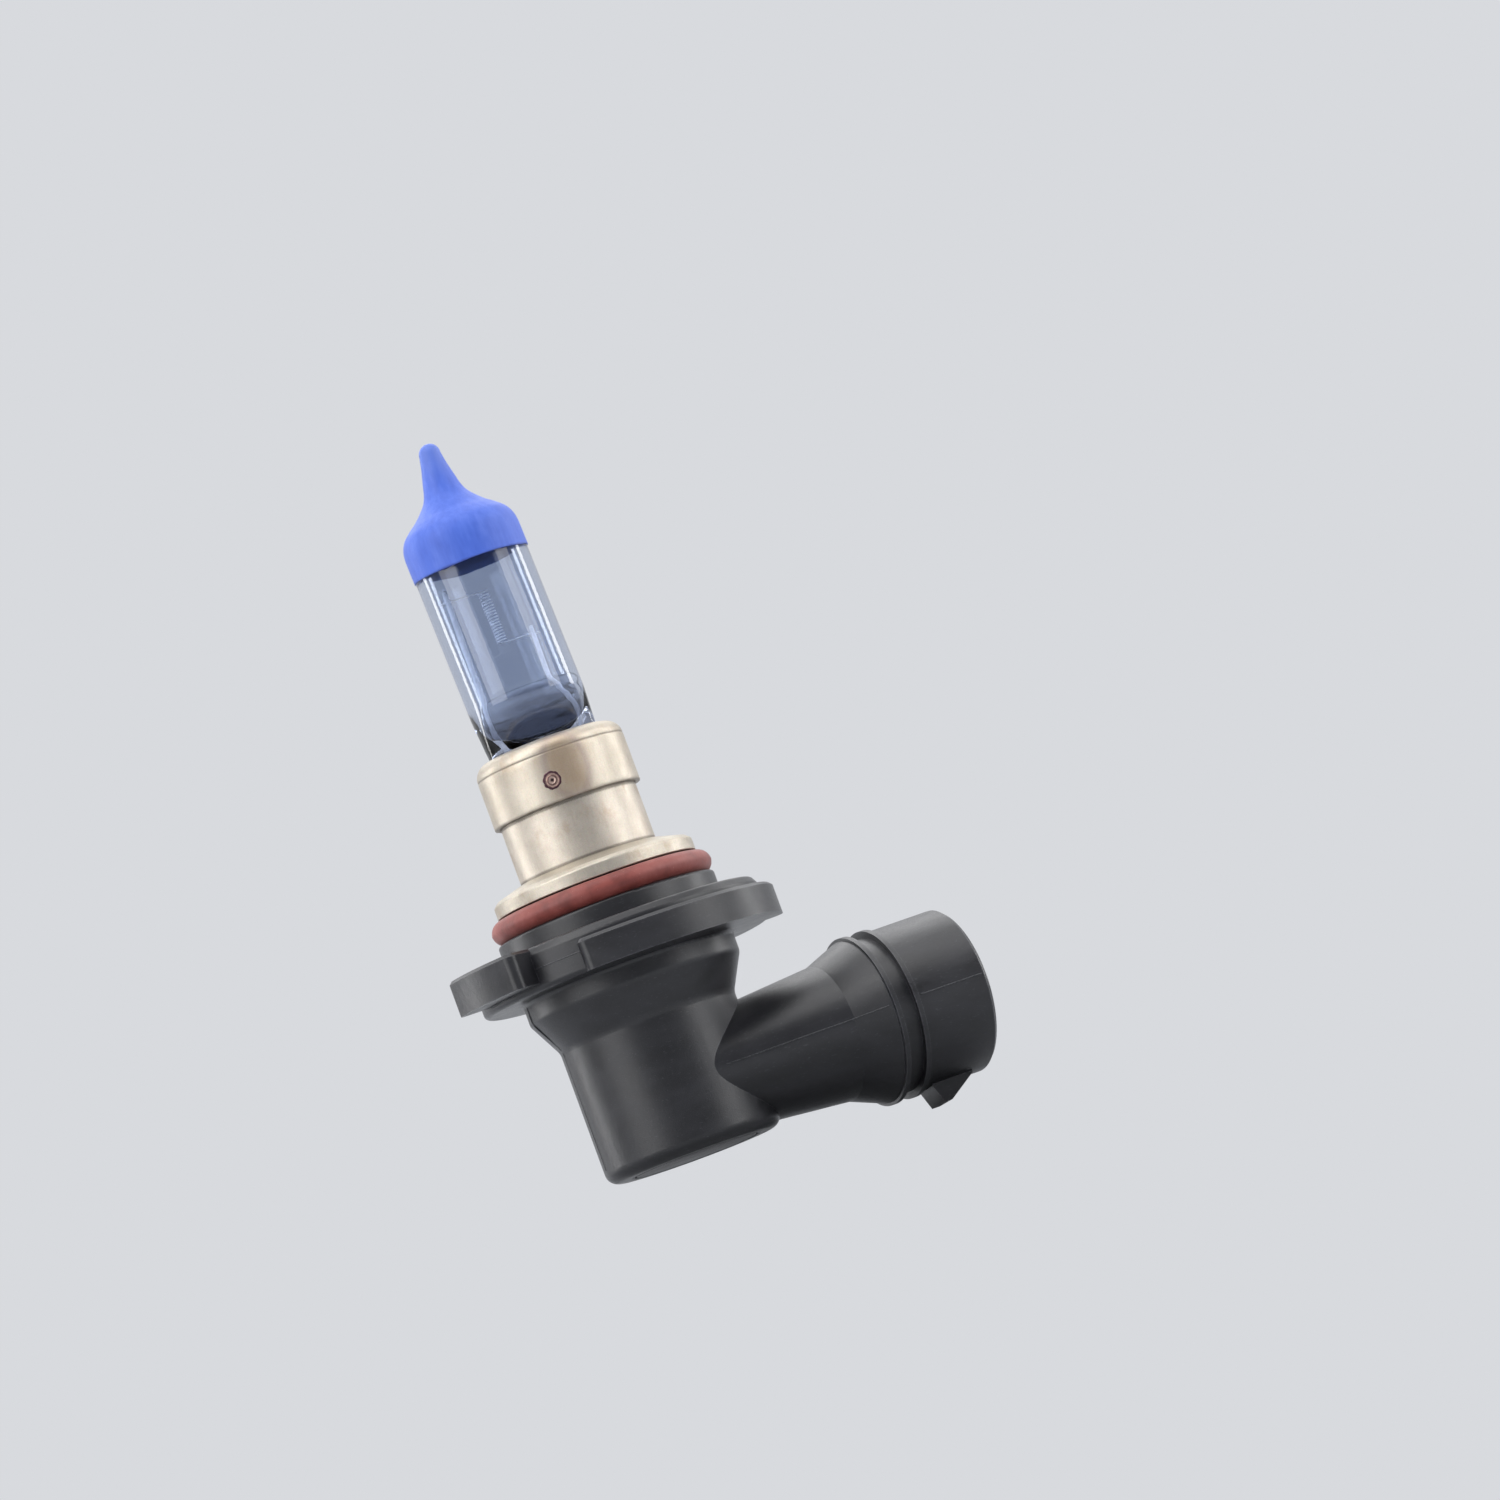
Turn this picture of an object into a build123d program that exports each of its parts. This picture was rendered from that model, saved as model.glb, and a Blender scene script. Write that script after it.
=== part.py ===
"""Right-angle headlight bulb: quartz capsule, steel cap, sealed plug base.

Millimetres, +Z along the capsule towards its tip, +X the way the plug points. The origin is
on the capsule's axis, in the plane of the lugs' upper faces, which seat in the lamp housing.
"""
from build123d import *
import os

# ---- driving dimensions: quartz capsule -------------------------------------------------
tube_r = 5.65            # outer radius of the quartz tube
tube_wall = 1.15         # thickness of the tube's wall
tip_z = 49.6             # top of the exhaust tip
tip_r = 0.95             # radius of the tip just below its rounded end
dome_z = 39.7            # where the straight tube ends and the dome begins
coat_z = 37.2            # lower edge of the blue coating
coat_t = 0.12            # thickness of the blue coating
press_top = 23.5         # where the round tube starts to flatten
press_z = 16.5           # where the flat seal has its full flatness
pinch_bottom = 7.8       # cut end of the flat seal
pinch_w = 10.8           # width of the flat seal
pinch_t = 3.4            # thickness of the flat seal
gas_floor = 21.9         # lowest point of the gas space

# ---- driving dimensions: filament and its wires -----------------------------------------
coil_r = 0.46            # mean radius of the coil
wire_r = 0.085           # radius of the tungsten wire
coil_pitch = 0.29
coil_turns = 18
light_center = 31.9      # height of the middle of the coil, the light centre
leg = 3.7                # length of the coil's lower straight leg
upper_leg_extra = 0.3    # how much longer the upper leg is
post_r = 0.25            # radius of the support posts
long_post_top = 35.7
short_post_top = 30.0
lead_r = 0.35            # radius of the outer leads
foil_w = 2.4
foil_t = 0.06
foil_x = 3.2             # distance of the foils and leads from the axis
foil_bottom = 9.8
foil_top = 14.8
weld_lap = 2.0           # how far each wire laps over its foil
post_lean_x = 3.85       # where both posts stand as they leave the seal
long_post_x = 3.45       # where the long post ends
short_post_foot_x = 3.1  # the short post's kink, just above the floor of the gas space
short_post_x = 3.3       # where the short post ends
leg_sleeve_x = 2.0       # start of the small tube on the coil's lower leg
leg_sleeve_len = 0.85
leg_sleeve_wall = 0.1

# ---- driving dimensions: steel cap ------------------------------------------------------
sheet = 0.55             # thickness of the steel sheet
sleeve_r = 6.8           # outer radius of the neck sleeve
sleeve_top = 16.5
collar_r = 7.35          # outer radius of the focusing collar
collar_bottom = 12.4
collar_top = 18.8
collar_bend = 1.5        # outer radius of the collar's rolled shoulder
clip_wall = 0.4          # sheet of the clip round the flat seal
clip_bottom = 8.8
clip_h = 5.0
wing_z = 9.3             # underside of the clip's four wings
wing_w = 2.2
wing_spread = 5.0        # distance between the wings on one side
wing_reach = 6.0
foot_r = 7.7             # radius of the sleeve's foot under the cap ring
foot_t = 0.4
ring_r = 10.0            # outer radius of the cap ring
ring_bottom = 4.3
ring_edge = 5.5          # top of the ring's upright wall
ring_cone_r = 9.55       # where the sloping top meets the rounded edge
ring_cone_z = 5.9
ring_top = 6.7           # top of the sloping face, against the sleeve
anchor_w = 4.0           # width of each anchor leg of the cap ring
anchor_t = 0.5
anchor_r = 8.15          # distance of the anchor legs from the axis
anchor_bottom = 0.8
weld_r = 0.9             # radius of a laser weld spot
weld_crown = 0.04        # how far a weld spot stands proud
weld_z = 14.55
weld_angle = 250.8       # direction of the first weld spot

# ---- driving dimensions: plastic base ---------------------------------------------------
neck_r = 8.84            # radius of the neck inside the O-ring
neck_top = 5.3
shoulder_r = 10.9        # step that the O-ring rests on
shoulder_top = 1.93
oring_r = 1.12           # radius of the O-ring's section
disc_r = 14.4            # radius of the round flange
disc_t = 4.2             # thickness of the round flange
lug_r = 17.5             # radius over the two seating lugs
lug_t = 3.5
near_lug = (183.5, 220.5)        # start and end of each lug round the axis, in degrees
far_lug = (66.0, 99.0)
rim_lug = (241.0, 352.0)         # the low, wide third lug
rim_r = 15.7             # radius over the wide lug
rim_top = -1.1           # its upper face, below the seating plane
lug_root_r = 11.0        # where each lug starts, inside the flange
lug_corner = 0.9         # rounding of a lug's corners, seen from above
lug_bevel = 0.3          # bevel along a lug's upper edges
barrel_top_r = 10.6      # radius of the barrel just under the flange
barrel_r = 8.8           # radius of the barrel lower down
taper_top = -6.2         # where the barrel starts to narrow
taper_bottom = -9.6      # where it has its lower radius
bore_r = 5.6             # bore through the neck
well_r = 6.4             # well in the lower part of the barrel
well_top = -8.7

# ---- driving dimensions: plug -----------------------------------------------------------
plug_z = -16.4           # height of the plug's centre line
arm_root = (8.2, 5.3)    # half width and half height of the arm at the barrel's axis
arm_end = (9.9, 6.7)     # and where the ramp to the shroud starts
shroud = (11.6, 8.05)    # half width and half height of the shroud
ramp_x = 16.5            # where the arm starts to widen to the shroud
shroud_x = 20.0          # where the shroud has its full size
mouth_x = 29.8           # open end of the shroud
mouth_bevel = 0.3
shroud_wall = 1.5
cavity_x = 12.5          # floor of the plug's cavity
cavity_step = 1.2        # how much narrower the cavity is near its floor
cavity_step_x = 21.0
groove_x = 20.6
groove_w = 1.6
groove_d = 0.4           # depth of the groove round the shroud
rail_w = 0.5             # width of the raised rails beside the groove
rail_h = 0.3             # height of the rails
latch_x = 23.6           # start of the latch ramp
latch_len = 4.2
latch_h = 1.8
latch_w = 5.0
latch_face = 0.6         # run of the latch's steep face
latch_land = 0.8         # flat top between the two faces
latch_root = 1.0         # how far the latch reaches into the shroud's wall
rib_w = 1.2
rib_h = 1.6              # how far the guide ribs stand into the cavity
rib_y = 4.2              # distance of the two upper ribs from the middle
rib_root = 3.0           # height of each rib's block, most of it inside the shroud's wall
rib_setback = 2.0        # how far the ribs stop short of the mouth
blade_w = 2.8
blade_t = 0.8
blade_y = 3.3            # distance of each blade from the plug's centre line
blade_end = 26.5
blade_bevel = 0.3        # bevel round each blade's free end
riser_top = -9.2
seal_top = -11.5
back_cap_t = 2.0         # thickness of the cap in the barrel's well

os.makedirs("parts", exist_ok=True)

coil_bottom = light_center - coil_pitch * coil_turns / 2
post_y = coil_r - wire_r - post_r
foil_y = post_y - post_r - foil_t / 2
lead_y = foil_y + foil_t / 2 + lead_r
lead_x = -blade_t / 2 - lead_r
pinch_corner = 0.45 * pinch_t
barrel_bottom = plug_z - arm_end[1]


def save(piece, name):
    """Name a finished piece and write it as its own file."""
    piece.label = name
    export_step(piece, f"parts/{name}.step")


# ---- filament: a coil of tungsten wire with a straight leg at each end ------------------
with BuildPart() as filament:
    with BuildLine(Plane.XY.offset(coil_bottom)) as filament_path:
        coil = Helix(coil_pitch, coil_pitch * coil_turns, coil_r)
        lower_leg = Line(coil @ 0, (coil @ 0) - (coil % 0) * leg)
        upper_leg = Line(coil @ 1, (coil @ 1) + (coil % 1) * (leg + upper_leg_extra))
    with BuildSketch(Plane(origin=lower_leg @ 1, z_dir=-(lower_leg % 1))):
        Circle(wire_r)
    sweep(path=filament_path.wires()[0], is_frenet=True)
save(filament.part.rotate(Axis.Z, 90), "filament")


# ---- wires: each is a round section swept along a bent path -----------------------------
def bent_wire(points, bend, radius):
    """A round wire along straight runs joined by bends."""
    with BuildPart() as wire:
        with BuildLine() as path:
            FilletPolyline(*points, radius=bend)
        with BuildSketch(Plane(origin=path.line @ 0, z_dir=path.line % 0)):
            Circle(radius)
        sweep()
    return wire.part


long_lead = bent_wire(
    [(-foil_x, post_y, foil_top - weld_lap), (-foil_x, post_y, press_z + 1.3),
     (-post_lean_x, post_y, gas_floor - 0.6), (-long_post_x, post_y, long_post_top)],
    1.0, post_r)
save(long_lead, "long_lead")

short_lead = bent_wire(
    [(foil_x, post_y, foil_top - weld_lap), (foil_x, post_y, press_z + 0.8),
     (post_lean_x, post_y, gas_floor - 1.0), (short_post_foot_x, post_y, press_top + 0.4),
     (short_post_x, post_y, short_post_top)],
    0.8, post_r)
save(short_lead, "short_lead")

outer_leads = []
for side, name in ((-1, "outer_lead_long_side"), (1, "outer_lead_short_side")):
    lead = bent_wire(
        [(side * foil_x, lead_y, foil_bottom + weld_lap), (side * foil_x, lead_y, 1.5),
         (lead_x, side * blade_y, riser_top + 2.5), (lead_x, side * blade_y, seal_top - 2.0)],
        1.5, lead_r)
    outer_leads.append(lead)
    save(lead, name)

foils = []
for side, name in ((-1, "foil_long_side"), (1, "foil_short_side")):
    with BuildPart() as foil:
        with BuildSketch(Plane.XY.offset(foil_bottom)):
            with Locations((side * foil_x, foil_y)):
                Rectangle(foil_w, foil_t)
        extrude(amount=foil_top - foil_bottom)
    foils.append(foil.part)
    save(foil.part, name)

# ---- leg sleeve: a small tube that ties the lower leg to the short post -----------------
with BuildPart() as leg_sleeve:
    with BuildSketch(Plane(origin=(leg_sleeve_x, coil_r, coil_bottom - 0.2), z_dir=(1, 0, -0.1))):
        Circle(wire_r + leg_sleeve_wall)
        Circle(wire_r, mode=Mode.SUBTRACT)
    extrude(amount=leg_sleeve_len)
save(leg_sleeve.part, "leg_sleeve")


# ---- quartz capsule: domed tube, drawn tip and flat seal --------------------------------
def capsule_outline(grow):
    """Half outline from the tube up to the tip's top, on the axis, grown outwards."""
    r = tube_r + grow
    neck = (tip_r + grow, tip_z - 1.0)
    Spline(
        (r, dome_z), (0.9 * r, dome_z + 1.8), (0.6 * r, dome_z + 3.15 + grow),
        (0.41 * r, dome_z + 4.3 + grow), (0.28 * r, dome_z + 6.4), neck,
        tangents=((0, 1), (-0.12, 1)))
    Spline(neck, (0, tip_z + grow), tangents=((-0.12, 1), (-1, 0)))


with BuildPart() as glass:
    with BuildSketch(Plane.XZ):
        with BuildLine():
            capsule_outline(0)
            Polyline((0, tip_z), (0, press_top), (tube_r, press_top), (tube_r, dome_z))
        make_face()
    revolve(axis=Axis.Z)
    with BuildSketch(Plane.XY.offset(press_top)):
        Circle(tube_r)
    with BuildSketch(Plane.XY.offset(press_z)):
        RectangleRounded(pinch_w, pinch_t, pinch_corner)
    loft()
    with BuildSketch(Plane.XY.offset(pinch_bottom)):
        RectangleRounded(pinch_w, pinch_t, pinch_corner)
    extrude(amount=press_z - pinch_bottom)
    # the gas space, with a hollow floor and a rounded roof
    with BuildSketch(Plane.XZ):
        with BuildLine():
            inner = tube_r - tube_wall
            floor_edge = (inner, press_top + 1.6)
            roof_edge = (inner, dome_z - 0.6)
            roof = (0, dome_z + 2.4)
            Spline((0, gas_floor), floor_edge, tangents=((1, 0), (0, 1)))
            Line(floor_edge, roof_edge)
            Spline(roof_edge, roof, tangents=((0, 1), (-1, 0)))
            Line(roof, (0, gas_floor))
        make_face()
    revolve(axis=Axis.Z, mode=Mode.SUBTRACT)
    for metal in (long_lead, short_lead, *outer_leads, *foils):
        add(metal, mode=Mode.SUBTRACT)
save(glass.part, "glass_envelope")

# ---- blue coating: a thin cap over the dome and the tip ---------------------------------
with BuildPart() as coating:
    for grow, mode in ((coat_t, Mode.ADD), (0, Mode.SUBTRACT)):
        with BuildSketch(Plane.XZ):
            with BuildLine():
                capsule_outline(grow)
                edge = tube_r + grow
                Polyline((0, tip_z + grow), (0, coat_z), (edge, coat_z), (edge, dome_z))
            make_face()
        revolve(axis=Axis.Z, mode=mode)
save(coating.part, "tip_coating")

# ---- pinch clip: bent sheet round the flat seal, with four wings to the sleeve ----------
with BuildPart() as clip:
    with BuildSketch(Plane.XY.offset(clip_bottom)):
        RectangleRounded(pinch_w + 2 * clip_wall, pinch_t + 2 * clip_wall,
                         pinch_corner + clip_wall)
    extrude(amount=clip_h)
    with BuildSketch(Plane.XY.offset(wing_z)):
        with GridLocations(wing_spread, sleeve_r + wing_reach / 3, 2, 2):
            Rectangle(wing_w, wing_reach)
    extrude(amount=clip_wall)
    with BuildSketch(Plane.XY.offset(clip_bottom)):
        RectangleRounded(pinch_w, pinch_t, pinch_corner)
    extrude(amount=clip_h, mode=Mode.SUBTRACT)
    with BuildSketch(Plane.XY.offset(clip_bottom)):
        Circle(sleeve_r - sheet)
    extrude(amount=clip_h, mode=Mode.INTERSECT)
save(clip.part, "pinch_clip")

# ---- focusing collar: a wide steel ring whose upper edge rolls in to the glass ----------
bend_x = collar_r - collar_bend
bend_z = collar_top - collar_bend
with BuildPart() as collar:
    with BuildSketch(Plane.XZ):
        with BuildLine():
            outer_bend = CenterArc((bend_x, bend_z), collar_bend, 0, 90)
            inner_bend = CenterArc((bend_x, bend_z), collar_bend - sheet, 0, 90)
            Line(outer_bend @ 1, inner_bend @ 1)
            Polyline(outer_bend @ 0, (collar_r, collar_bottom),
                     (collar_r - sheet, collar_bottom), inner_bend @ 0)
        make_face()
    revolve(axis=Axis.Z)
    with Locations(Plane.XY.offset(weld_z)):
        with PolarLocations(collar_r, 3, start_angle=weld_angle):
            Cylinder(weld_r, 3 * sheet, rotation=(0, 90, 0), mode=Mode.SUBTRACT)
save(collar.part, "focusing_collar")

# ---- weld spots: nuggets through the collar's wall --------------------------------------
with BuildPart() as welds:
    with Locations(Plane.XY.offset(weld_z)):
        with PolarLocations(collar_r, 3, start_angle=weld_angle):
            Cylinder(weld_r, 3 * sheet, rotation=(0, 90, 0))
    with BuildSketch(Plane.XY.offset(weld_z - 2)):
        Circle(collar_r + weld_crown)
        Circle(sleeve_r, mode=Mode.SUBTRACT)
    extrude(amount=4.0, mode=Mode.INTERSECT)
save(welds.part, "collar_welds")

# ---- base sleeve: the steel neck, with a foot turned out under the cap ring -------------
with BuildPart() as sleeve:
    with BuildSketch(Plane.XZ):
        with BuildLine():
            Polyline(
                (sleeve_r - sheet, sleeve_top), (sleeve_r, sleeve_top),
                (sleeve_r, neck_top + foot_t), (foot_r, neck_top + foot_t),
                (foot_r, neck_top), (sleeve_r - sheet, neck_top), close=True)
        make_face()
    revolve(axis=Axis.Z)
save(sleeve.part, "base_sleeve")

# ---- cap ring: coned steel ring with a wall and three legs anchored in the neck ---------
with BuildPart() as ring:
    with BuildSketch(Plane.XZ):
        with BuildLine():
            FilletPolyline(
                (sleeve_r, neck_top + foot_t), (sleeve_r, ring_top), (ring_cone_r, ring_cone_z),
                (ring_r, ring_edge), (ring_r, ring_bottom), (ring_r - sheet, ring_bottom),
                (ring_r - sheet, neck_top + foot_t),
                radius=(0, 0, 0.25, 0.25, 0.1, 0, 0.2), close=True)
        make_face()
    revolve(axis=Axis.Z)
    with BuildSketch(Plane.XY.offset(anchor_bottom)):
        with PolarLocations(anchor_r, 3, start_angle=30):
            Rectangle(anchor_t, anchor_w)
    extrude(amount=neck_top + foot_t - anchor_bottom)
save(ring.part, "cap_ring")

# ---- O-ring -----------------------------------------------------------------------------
with BuildPart() as oring:
    with BuildSketch(Plane.XZ):
        with Locations((neck_r + oring_r, shoulder_top + oring_r)):
            Circle(oring_r)
    revolve(axis=Axis.Z)
save(oring.part, "o_ring")


# ---- terminals: bent blades, from the shroud's mouth up into the barrel -----------------
def make_terminal(side):
    """One flat blade with a bevelled end, which turns up inside the barrel's well."""
    half = blade_t / 2
    with BuildPart() as blade:
        with BuildSketch(Plane.XZ.offset(-side * blade_y)):
            with BuildLine():
                Polyline(
                    (-half, riser_top), (-half, plug_z - half), (blade_end, plug_z - half),
                    (blade_end, plug_z + half), (half, plug_z + half), (half, riser_top),
                    close=True)
            make_face()
        extrude(amount=blade_w / 2, both=True)
        chamfer(blade.faces().sort_by(Axis.X)[-1].edges(), blade_bevel)
    return blade.part


terminals = [make_terminal(-1), make_terminal(1)]
save(terminals[0], "terminal_left")
save(terminals[1], "terminal_right")


# ---- plug housing: neck, flange with lugs, barrel, arm and shroud -----------------------
def lug(span, outer_r, top, bottom):
    """One rounded sector of the flange, between two angles round the axis."""
    start, end = span
    with BuildPart() as block:
        with BuildSketch(Plane.XY.offset(bottom)):
            with BuildLine():
                outer = CenterArc((0, 0), outer_r, start, end - start)
                root = CenterArc((0, 0), lug_root_r, start, end - start)
                Line(outer @ 0, root @ 0)
                Line(outer @ 1, root @ 1)
            outline = make_face()
            fillet(outline.vertices().group_by(SortBy.DISTANCE)[-1], lug_corner)
        extrude(amount=top - bottom)
        top_edges = block.faces().sort_by(Axis.Z)[-1].edges()
        chamfer(top_edges.sort_by(SortBy.DISTANCE)[1:], lug_bevel)
    return block.part


lugs = [
    lug(near_lug, lug_r, 0, -lug_t),
    lug(far_lug, lug_r, 0, -lug_t),
    lug(rim_lug, rim_r, rim_top, -disc_t)]


def oval(half_size, grow=0.0):
    """The plug's oval section, made larger or smaller all round."""
    with Locations((0, plug_z)):
        Ellipse(half_size[0] + grow, half_size[1] + grow)


with BuildPart() as housing:
    # neck, shoulder, flange and barrel in one turned outline
    with BuildSketch(Plane.XZ):
        with BuildLine():
            FilletPolyline(
                (0, neck_top), (neck_r, neck_top), (neck_r, shoulder_top),
                (shoulder_r, shoulder_top), (shoulder_r, 0), (disc_r - 0.4, 0),
                (disc_r, -0.7), (disc_r, -disc_t), (barrel_top_r, -disc_t),
                (barrel_top_r, taper_top), (barrel_r, taper_bottom),
                (barrel_r, barrel_bottom), (0, barrel_bottom),
                radius=(0, 0, 0, 0.3, 0.25, 0.35, 0.4, 0.5, 0.4, 1.0, 1.5, 1.2, 0), close=True)
        make_face()
    revolve(axis=Axis.Z)
    add(lugs)
    # arm, ramp and shroud, as ovals across the plug's axis
    with BuildSketch(Plane.YZ):
        oval(arm_root)
    with BuildSketch(Plane.YZ.offset(ramp_x)):
        oval(arm_end)
    loft()
    with BuildSketch(Plane.YZ.offset(ramp_x)):
        oval(arm_end)
    with BuildSketch(Plane.YZ.offset(shroud_x)):
        oval(shroud)
    loft()
    with BuildSketch(Plane.YZ.offset(shroud_x)):
        oval(shroud)
    extrude(amount=mouth_x - shroud_x)
    # groove round the shroud, between two raised rails
    for rail_x in (groove_x - rail_w, groove_x + groove_w):
        with BuildSketch(Plane.YZ.offset(rail_x)):
            oval(shroud, rail_h)
        extrude(amount=rail_w)
    with BuildSketch(Plane.YZ.offset(groove_x)):
        oval(shroud, 2 * rail_h)
        with Locations((0, plug_z)):
            Ellipse(shroud[0] - groove_d, shroud[1] - groove_d, mode=Mode.SUBTRACT)
    extrude(amount=groove_w, mode=Mode.SUBTRACT)
    # latch ramp under the shroud
    with BuildSketch(Plane.XZ):
        with BuildLine():
            low = plug_z - shroud[1]
            Polyline(
                (latch_x, low + latch_root), (latch_x, low),
                (latch_x + latch_face, low - latch_h),
                (latch_x + latch_face + latch_land, low - latch_h),
                (latch_x + latch_len, low), (latch_x + latch_len, low + latch_root),
                close=True)
        make_face()
    extrude(amount=latch_w / 2, both=True)
    # plug cavity, narrower near its floor, with guide ribs
    with BuildSketch(Plane.YZ.offset(cavity_x)):
        oval(shroud, -shroud_wall - cavity_step)
    extrude(amount=cavity_step_x - cavity_x, mode=Mode.SUBTRACT)
    with BuildSketch(Plane.YZ.offset(cavity_step_x)):
        oval(shroud, -shroud_wall)
    extrude(amount=mouth_x - cavity_step_x, mode=Mode.SUBTRACT)
    rib_z = shroud[1] - shroud_wall - rib_h
    with BuildSketch(Plane.YZ.offset(shroud_x)):
        low_rib, high_rib = plug_z - rib_z - rib_root / 2, plug_z + rib_z + rib_root / 4
        with Locations((0, low_rib), (-rib_y, high_rib), (rib_y, high_rib)):
            Rectangle(rib_w, rib_root)
        with Locations((0, plug_z)):
            Ellipse(shroud[0] - shroud_wall / 2, shroud[1] - shroud_wall / 2,
                    mode=Mode.INTERSECT)
    extrude(amount=mouth_x - shroud_x - rib_setback)
    chamfer(housing.faces().sort_by(Axis.X)[-1].edges(), mouth_bevel)
    # bore through the neck, well under it and slots for the cap ring's legs
    with BuildSketch(Plane.XY.offset(barrel_bottom)):
        Circle(bore_r)
    extrude(amount=neck_top - barrel_bottom, mode=Mode.SUBTRACT)
    with BuildSketch(Plane.XY.offset(barrel_bottom)):
        Circle(well_r)
    extrude(amount=well_top - barrel_bottom, mode=Mode.SUBTRACT)
    with BuildSketch(Plane.XY.offset(anchor_bottom)):
        with PolarLocations(anchor_r, 3, start_angle=30):
            Rectangle(anchor_t, anchor_w)
    extrude(amount=neck_top - anchor_bottom, mode=Mode.SUBTRACT)
    for blade in terminals:
        add(blade, mode=Mode.SUBTRACT)
save(housing.part, "plug_housing")

# ---- terminal seal and back cap: both fill the barrel's well ----------------------------
with BuildPart() as seal:
    with BuildSketch(Plane.XY.offset(barrel_bottom + back_cap_t)):
        Circle(well_r)
    extrude(amount=seal_top - barrel_bottom - back_cap_t)
    for metal in (*terminals, *outer_leads):
        add(metal, mode=Mode.SUBTRACT)
save(seal.part, "terminal_seal")

with BuildPart() as back_cap:
    with BuildSketch(Plane.XY.offset(barrel_bottom)):
        Circle(well_r)
    extrude(amount=back_cap_t)
    chamfer(back_cap.faces().sort_by(Axis.Z)[0].edges(), 0.4)
save(back_cap.part, "back_cap")
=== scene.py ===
"""Looks of the right-angle headlight bulb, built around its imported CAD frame.

Metres, +Z along the capsule towards its tip, +X the way the plug points. Shapes are worked
out in millimetres and scaled once, in add_piece.
"""
from math import cos, pi, radians, sin, sqrt

import bmesh
import bpy
from mathutils import Matrix, Vector, noise


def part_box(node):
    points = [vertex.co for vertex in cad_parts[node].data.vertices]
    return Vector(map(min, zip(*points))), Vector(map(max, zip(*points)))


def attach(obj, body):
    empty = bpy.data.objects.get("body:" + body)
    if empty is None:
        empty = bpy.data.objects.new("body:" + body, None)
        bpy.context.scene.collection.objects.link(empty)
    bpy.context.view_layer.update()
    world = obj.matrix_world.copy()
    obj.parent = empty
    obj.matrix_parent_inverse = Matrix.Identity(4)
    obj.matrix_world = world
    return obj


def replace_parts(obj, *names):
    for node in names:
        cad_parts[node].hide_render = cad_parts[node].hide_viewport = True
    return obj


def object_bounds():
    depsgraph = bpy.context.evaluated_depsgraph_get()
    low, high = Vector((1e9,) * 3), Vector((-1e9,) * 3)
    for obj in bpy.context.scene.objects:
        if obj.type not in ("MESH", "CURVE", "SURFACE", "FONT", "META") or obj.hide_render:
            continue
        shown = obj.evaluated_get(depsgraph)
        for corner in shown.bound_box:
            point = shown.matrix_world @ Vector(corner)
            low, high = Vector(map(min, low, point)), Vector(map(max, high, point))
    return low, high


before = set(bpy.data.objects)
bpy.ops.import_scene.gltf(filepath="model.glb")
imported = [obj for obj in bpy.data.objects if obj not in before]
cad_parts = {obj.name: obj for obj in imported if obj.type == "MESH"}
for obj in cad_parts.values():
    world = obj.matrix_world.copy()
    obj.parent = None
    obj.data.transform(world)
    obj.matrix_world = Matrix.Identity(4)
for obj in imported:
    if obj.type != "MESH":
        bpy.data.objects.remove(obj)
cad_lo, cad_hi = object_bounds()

MM = 0.001
scene = bpy.context.scene


def mm_box(node):
    """Lowest and highest corner of a CAD node, in millimetres."""
    low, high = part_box(node)
    return low / MM, high / MM


# ---- sizes read from the frame, in mm ------------------------------------------------------
glass_lo, glass_hi = mm_box("glass_envelope")
coat_lo = mm_box("tip_coating")[0]
collar_lo, collar_hi = mm_box("focusing_collar")
sleeve_lo, sleeve_hi = mm_box("base_sleeve")
ring_hi = mm_box("cap_ring")[1]
seal_lo, seal_hi = mm_box("o_ring")
cap_lo = mm_box("back_cap")[0]

TUBE_R = glass_hi.y
DOME_Z = 39.7                       # where the dome starts
PRESS_TOP, PRESS_Z = 23.5, 16.5     # the tube turns into the flat seal between these
PINCH_A, PINCH_B, PINCH_C = 5.4, 1.7, 1.53    # half width, half depth, corner of the seal
GAS_FLOOR, GAS_BEND = 20.1, 24.2    # lowest point of the gas space, and where it narrows
WALL = 1.15                         # of the glass
PAINT = 0.115                       # outside of the coating over the glass
COIL_R, COIL_WIRE = 0.46, 0.085
COIL_TURNS, COIL_PITCH, LIGHT_Z = 18, 0.29, 31.9
POST_R, POST_Y = 0.25, 0.125
SLEEVE_R = 6.8
DISC_R, DISC_MID = 14.4, -2.12      # the flange's rim, and its parting line
EJECTOR_AT = 12.65                  # ejector rings' distance from the axis
LEAN, LEAN_Z = 0.030, 14.0          # slope of the capsule in its cap, and where it starts
LEAN_WAY = Vector((-0.961, 0.276, 0.0))
COLLAR_R = collar_hi.x
SHEET = 0.55
WELD_Z, WELD_R = 14.55, 0.95
WELD_ANGLES = [250.8, 10.8, 130.8]


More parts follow.
